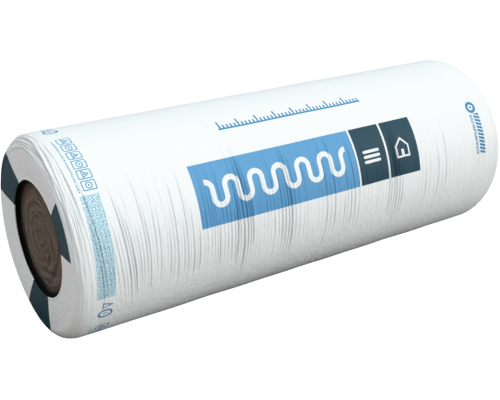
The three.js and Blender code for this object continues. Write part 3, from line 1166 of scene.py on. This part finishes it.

# %% Painted shade in the creases: the film's colour is greyed where the pleats are deep
CREASE_SHADE = 0.5
# this grey is multiplied into the film's colour as painted shade in the creases
CREASE_SHADE_GREY = "8E9494"
crease = add(tree, "ShaderNodeAttribute", {}, attribute_name="crease").node.outputs["Fac"]
shade = add(tree, "ShaderNodeMath", {0: crease, 1: CREASE_SHADE}, operation="MULTIPLY")
shaded = {"Factor": shade, 6: colour, 7: srgb(CREASE_SHADE_GREY)}
film_colour = add(tree, "ShaderNodeMix", shaded, data_type="RGBA", blend_type="MULTIPLY")
print(f"full creases in {CREASE_SHADE:.0%} shade")

# %% Fine crinkles between the pleats, a few millimetres apart and drawn out round the roll
CRINKLE_SCALE = (1 / (9 * MM), 1 / (70 * MM), 1)  # 9 mm along the roll, 70 mm round it
CREPING_SCALE = (1 / (7 * MM), 1 / (16 * MM), 1)
CREPING_SHARE = 0.7
CRINKLE_HEIGHT = 3.0 * MM
slack_there = add(tree, "ShaderNodeAttribute", {}, attribute_name="slack").node.outputs["Fac"]
under_there = add(tree, "ShaderNodeAttribute", {}, attribute_name="under").node.outputs["Fac"]
crinkle_place = add(tree, "ShaderNodeMapping", {"Vector": film_uv, "Scale": CRINKLE_SCALE})
waves = add(tree, "ShaderNodeTexNoise", {"Vector": crinkle_place, "Scale": 1.0, "Detail": 1.0})
centred = add(tree, "ShaderNodeMath", {0: waves, 1: 0.5}, operation="SUBTRACT")
folded = add(tree, "ShaderNodeMath", {0: centred}, operation="ABSOLUTE")
crinkle = add(tree, "ShaderNodeMath", {0: folded, 1: slack_there}, operation="MULTIPLY")
creping_place = add(tree, "ShaderNodeMapping", {"Vector": film_uv, "Scale": CREPING_SCALE})
ruffles = add(tree, "ShaderNodeTexNoise", {"Vector": creping_place, "Scale": 1.0, "Detail": 1.0})
creping = add(tree, "ShaderNodeMath", {0: ruffles, 1: under_there}, operation="MULTIPLY")
uneven = add(
    tree, "ShaderNodeMath", {0: creping, 1: CREPING_SHARE, 2: crinkle}, operation="MULTIPLY_ADD"
)
film_bump = {"Strength": 1.0, "Distance": CRINKLE_HEIGHT, "Height": uneven}
print(f"crinkles {1 / CRINKLE_SCALE[0] / MM:.0f} mm wide, {1 / CRINKLE_SCALE[1] / MM:.0f} mm long")

# %% The film's shader
film_finish = {
    "Base Color": film_colour,
    "Roughness": 0.6,
    "IOR": 1.51,
    "Normal": add(tree, "ShaderNodeBump", film_bump),
}
film_shader = add(tree, "ShaderNodeBsdfPrincipled", film_finish)
add(tree, "ShaderNodeOutputMaterial", {"Surface": film_shader})
film.data.materials.append(film_material)
print("film material nodes:", len(tree.nodes))

# %% [markdown]
# ## Glass wool
# Fibres of brown-bound glass, a few micrometres thick, that scatter light like felt: no
# gloss at all, darker in the seams between turns where light goes in and does not return.
# A picture of wool would show single fibres, but it would repeat. Here noises of a few real
# Noises of a few real sizes lie over the stored grain, and the hollows get painted shade.

# %% The wool's colour: brown, in patches of two tones, with dark flecks, and painted shade in the seams and under the film's edge
FLECK_SCALE = 1 / (5 * MM)
BLOTCH_SCALE = 1 / (30 * MM)
GRAIN_SHARE = 0.3
DARK_FLECK = "544A43"
BROWN_TONES = ("827067", "777162")
WOOL_SHADE_TONE = "111413"
FLECK_LIMITS = (0.2, 0.8)  # noise at which a fleck is darkest, and at which none is left
BLOTCH_LIMITS = (0.4, 0.6)  # noise at which the first brown gives way, and is gone
wool_material = bpy.data.materials.new("brown_felted_glass_wool")
tree = new_tree(wool_material)
grain = add(tree, "ShaderNodeAttribute", {}, attribute_name="grain").node.outputs["Fac"]
wool_shade_share = add(tree, "ShaderNodeAttribute", {}, attribute_name="painted_wool_shade").node.outputs["Fac"]
spot = add(tree, "ShaderNodeTexCoord", {}).node.outputs["Object"]
flecks = add(tree, "ShaderNodeTexNoise", {"Vector": spot, "Scale": FLECK_SCALE, "Detail": 4.0})
mixed = add(tree, "ShaderNodeMath", {0: grain, 1: GRAIN_SHARE, 2: flecks}, operation="MULTIPLY_ADD")
unflecked = {0: mixed, 1: FLECK_LIMITS[0], 2: FLECK_LIMITS[1], 3: 0.0, 4: 1.0}
tone = add(tree, "ShaderNodeMapRange", unflecked)
blotches = add(tree, "ShaderNodeTexNoise", {"Vector": spot, "Scale": BLOTCH_SCALE, "Detail": 2.0})
second_brown = {0: blotches, 1: BLOTCH_LIMITS[0], 2: BLOTCH_LIMITS[1], 3: 0.0, 4: 1.0}
patches = add(tree, "ShaderNodeMapRange", second_brown)
browns = {"Factor": patches, 6: srgb(BROWN_TONES[0]), 7: srgb(BROWN_TONES[1])}
brown = add(tree, "ShaderNodeMix", browns, data_type="RGBA")
flecked = {"Factor": tone, 6: srgb(DARK_FLECK), 7: brown}
surface = add(tree, "ShaderNodeMix", flecked, data_type="RGBA")
# Painted shade: the colour is mixed towards near-black in the seams and in the recess under the
# film's edge.
shade_painted_in = {"Factor": wool_shade_share, 6: surface, 7: srgb(WOOL_SHADE_TONE)}
wool_colour = add(tree, "ShaderNodeMix", shade_painted_in, data_type="RGBA")
print(f"flecks {1 / FLECK_SCALE / MM:.0f} mm apart, patches {1 / BLOTCH_SCALE / MM:.0f} mm")

# %% The wool's fibres, drawn 3 mm apart because real ones are too fine to see
FIBRE_SCALE = 1 / (3 * MM)
FIBRE_HEIGHT = 1.5 * MM
fibres = add(tree, "ShaderNodeTexNoise", {"Vector": spot, "Scale": FIBRE_SCALE, "Detail": 5.0})
wool_bump = {"Strength": 0.8, "Distance": FIBRE_HEIGHT, "Height": fibres}
wool_finish = {
    "Base Color": wool_colour,
    "Roughness": 1.0,
    "Specular IOR Level": 0.1,
    "Normal": add(tree, "ShaderNodeBump", wool_bump),
}
wool_shader = add(tree, "ShaderNodeBsdfPrincipled", wool_finish)
add(tree, "ShaderNodeOutputMaterial", {"Surface": wool_shader})
wool.data.materials.append(wool_material)
print("wool material nodes:", len(tree.nodes))

# %% [markdown]
# ## Join the pieces to the frame
# Both pieces ride on the one body of the roll and stand for the plain CAD solids, which are hidden.

for piece, node, slot in ((film, "film_wrap", "film"), (wool, "wool_roll", "wool")):
    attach(piece, "root")
    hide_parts(node)
    print(f"{piece.name} stands for {node}")

# %% [markdown]
# ## Studio
# The roll is shown as a cut-out on white, so the floor and the room have to look white
# and still leave the roll's underside in shade. A white floor would light it from below.
# A studio settles it with a lit sweep behind and black flags close by. Here a Light Path
# node does: the camera sees a pale floor, and the roll is lit by a duller one.


# %% What the camera sees, and what lights the roll
def seen_or_lighting(tree, seen, lighting):
    """Mixes two shaders: the first for rays from the camera, the second for all others."""
    from_camera = add(tree, "ShaderNodeLightPath", {})
    return add(tree, "ShaderNodeMixShader", {0: from_camera, 1: lighting, 2: seen})


# %% Floor: pale to the camera; to the roll, black close by and grey farther out
FLOOR_HALF = 14.0  # metres
FLOOR_GLOW = 1.12
PALE_FLOOR = "707070"
BLACK_REACH = (1.5, 0.4)  # metres along the roll and across it
BLACK_EDGE = (0.46, 0.67)  # where the black ends and the grey is full, in those reaches
NEAR_BLACK = "040404"
FAR_GREY = "A7A4A1"
corners = np.array([[-1, -1, 0], [1, -1, 0], [1, 1, 0], [-1, 1, 0]], float) * FLOOR_HALF
floor = mesh_object("studio_floor", corners, np.array([[0, 1, 2, 3]]))
floor_material = bpy.data.materials.new("pale_floor")
tree = new_tree(floor_material)
glow = add(tree, "ShaderNodeEmission", {"Color": srgb("FFFFFF"), "Strength": FLOOR_GLOW})
pale = add(tree, "ShaderNodeBsdfDiffuse", {"Color": srgb(PALE_FLOOR)})
bright = add(tree, "ShaderNodeAddShader", {0: glow, 1: pale})
floor_spot = add(tree, "ShaderNodeTexCoord", {}).node.outputs["Object"]
nearer = (1 / BLACK_REACH[0], 1 / BLACK_REACH[1], 0)
squashed = add(tree, "ShaderNodeVectorMath", {0: floor_spot, 1: nearer}, operation="MULTIPLY")
away = add(tree, "ShaderNodeVectorMath", {0: squashed}, operation="LENGTH")
grey_share = {0: away, 1: BLACK_EDGE[0], 2: BLACK_EDGE[1], 3: 0.0, 4: 1.0}
greyed = add(tree, "ShaderNodeMapRange", grey_share)
dull_tones = {"Factor": greyed, 6: srgb(NEAR_BLACK), 7: srgb(FAR_GREY)}
dull_colour = add(tree, "ShaderNodeMix", dull_tones, data_type="RGBA")
dull = add(tree, "ShaderNodeBsdfDiffuse", {"Color": dull_colour})
add(tree, "ShaderNodeOutputMaterial", {"Surface": seen_or_lighting(tree, bright, dull)})
floor.data.materials.append(floor_material)
floor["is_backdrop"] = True
print(f"floor {2 * FLOOR_HALF:.0f} m square")

# %% Room: bright overhead, with a dark screen on the right and a little light on the left
WHITE_ROOM = 1.3
LOW_LIGHT = 0.246
TOP_LIGHT = 1.5
TOP_POWER = 2.5  # the higher, the closer to straight overhead the light stays
LEFT_LIGHT = 0.625
SCREEN = 0.3  # share of the light that the screen lets through
AIR_TONES = ("F8F4F0", "E6F9FF")  # at the horizon and overhead
LEFT_TINT = "F6EAE8"
# How far to the side a direction points, from -1 on the left to 1 on the right
TINT_FULL = -0.7
SCREEN_EDGE = (0.35, 0.9)  # where the screen begins, and where it is full
LEFT_EDGE = (-0.1, -1.0)  # where the light on the left begins, and where it is full
world = bpy.data.worlds.new("bright_room")
tree = new_tree(world)
sky = add(tree, "ShaderNodeTexCoord", {})
upward = add(tree, "ShaderNodeSeparateXYZ", {0: sky}).node.outputs["Z"]
rightward = add(tree, "ShaderNodeSeparateXYZ", {0: sky}).node.outputs["X"]
overhead = add(tree, "ShaderNodeMapRange", {0: upward, 1: 0.0, 2: 1.0, 3: 0.0, 4: 1.0})
on_left = add(tree, "ShaderNodeMapRange", {0: rightward, 1: 0.0, 2: TINT_FULL, 3: 0.0, 4: 1.0})
screened_off = {0: rightward, 1: SCREEN_EDGE[0], 2: SCREEN_EDGE[1], 3: 1.0, 4: SCREEN}
past_screen = add(tree, "ShaderNodeMapRange", screened_off)
left_light = {0: rightward, 1: LEFT_EDGE[0], 2: LEFT_EDGE[1], 3: 0.0, 4: LEFT_LIGHT}
from_left = add(tree, "ShaderNodeMapRange", left_light)

# %% The room's colour and strength
air_tones = {"Factor": overhead, 6: srgb(AIR_TONES[0]), 7: srgb(AIR_TONES[1])}
air = add(tree, "ShaderNodeMix", air_tones, data_type="RGBA")
tinted = {"Factor": on_left, 6: air, 7: srgb(LEFT_TINT)}
room_colour = add(tree, "ShaderNodeMix", tinted, data_type="RGBA", blend_type="MULTIPLY")
from_top = add(tree, "ShaderNodeMath", {0: overhead, 1: TOP_POWER}, operation="POWER")
ceiling = add(
    tree, "ShaderNodeMath", {0: from_top, 1: TOP_LIGHT, 2: LOW_LIGHT}, operation="MULTIPLY_ADD"
)
screened = add(tree, "ShaderNodeMath", {0: ceiling, 1: past_screen}, operation="MULTIPLY")
strength = add(tree, "ShaderNodeMath", {0: screened, 1: from_left}, operation="ADD")
lit_room = add(tree, "ShaderNodeBackground", {"Color": room_colour, "Strength": strength})
white_room = add(tree, "ShaderNodeBackground", {"Color": srgb("FFFFFF"), "Strength": WHITE_ROOM})
add(tree, "ShaderNodeOutputWorld", {"Surface": seen_or_lighting(tree, white_room, lit_room)})
bpy.context.scene.world = world
print(f"room strength {LOW_LIGHT} at the horizon, {LOW_LIGHT + TOP_LIGHT:.2f} overhead")

# %% [markdown]
# ## Response, light and camera
# White film against white has its texture in the brightest tones. A plain view transform
# cuts them off at 1, so the view has a curve that eases off to white instead, as film and
# cameras do. This is why the floor and the room are stronger than 1 to the camera. One low
# soft lamp from the right brings out the pleats. It stands far off, so that it lights the
# whole length of the roll alike.

# %% The camera's response: true to the light up to 0.88, then easing off to white at 1.2
SOFT_WHITE = (
    # light that comes in, brightness shown
    (0.45, 0.45),
    (0.88, 0.88),
    (0.96, 0.941),
    (1.05, 0.982),
)
WHITE_LIGHT = 1.2
view = bpy.context.scene.view_settings
view.view_transform = "Standard"
view.use_curve_mapping = True
view.curve_mapping.clip_max_x = WHITE_LIGHT
response = view.curve_mapping.curves[3]  # the one for all three colours together
response.points[1].location = (WHITE_LIGHT, 1.0)
for light, shown in SOFT_WHITE:
    response.points.new(light, shown)
view.curve_mapping.update()
print(f"response: white at a light of {WHITE_LIGHT}")

# %% Key light: low and from the right, to bring out the pleats
KEY_DIRECTION = (0.38, -0.80, 0.46)
KEY_DISTANCE = 32.0
KEY_SIZE = 10.6
KEY_POWER = 5080
KEY_COLOUR = "FFFFFD"
lamp = bpy.data.lights.new("key_light", "AREA")
lamp.size = KEY_SIZE
lamp.energy = KEY_POWER
lamp.color = srgb(KEY_COLOUR)[:3]
key = bpy.data.objects.new("key_light", lamp)
bpy.context.scene.collection.objects.link(key)
key.location = np.array(KEY_DIRECTION) * KEY_DISTANCE + np.array([0, 0, AXIS_Z])
key.rotation_euler = (
    math.atan2(math.hypot(*KEY_DIRECTION[:2]), KEY_DIRECTION[2]),
    0,
    math.atan2(KEY_DIRECTION[0], -KEY_DIRECTION[1]),
)
print(f"key light {KEY_DISTANCE:.0f} m off, {KEY_SIZE} m square")

# %% Camera
YAW = math.radians(34.54)
PITCH = math.radians(22.36)
FOCAL_PIXELS = 866.2
IMAGE_WIDTH = 500  # in the same pixels
SENSOR = 36.0
AIM_ALONG = -0.236  # in radii of the roll, as the next two
AIM_UP = 0.834
CAMERA_DISTANCE = 9.464
aim = np.array([AIM_ALONG * RADIUS, 0.0, AIM_UP * RADIUS])
forward = np.array([
    math.sin(YAW) * math.cos(PITCH),
    math.cos(YAW) * math.cos(PITCH),
    -math.sin(PITCH),
])
camera_data = bpy.data.cameras.new("camera")
camera_data.sensor_width = SENSOR
camera_data.lens = FOCAL_PIXELS / IMAGE_WIDTH * SENSOR
camera = bpy.data.objects.new("camera", camera_data)
camera.location = aim - forward * CAMERA_DISTANCE * RADIUS
camera.rotation_euler = (math.pi / 2 - PITCH, 0, -YAW)
bpy.context.scene.collection.objects.link(camera)
bpy.context.scene.camera = camera
print(f"lens {camera_data.lens:.1f} mm, {CAMERA_DISTANCE * RADIUS:.2f} m from the roll")

# %% The bounds of the imported model and of the scene's pieces
boxes = {"cad": cad_box, "visual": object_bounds()}
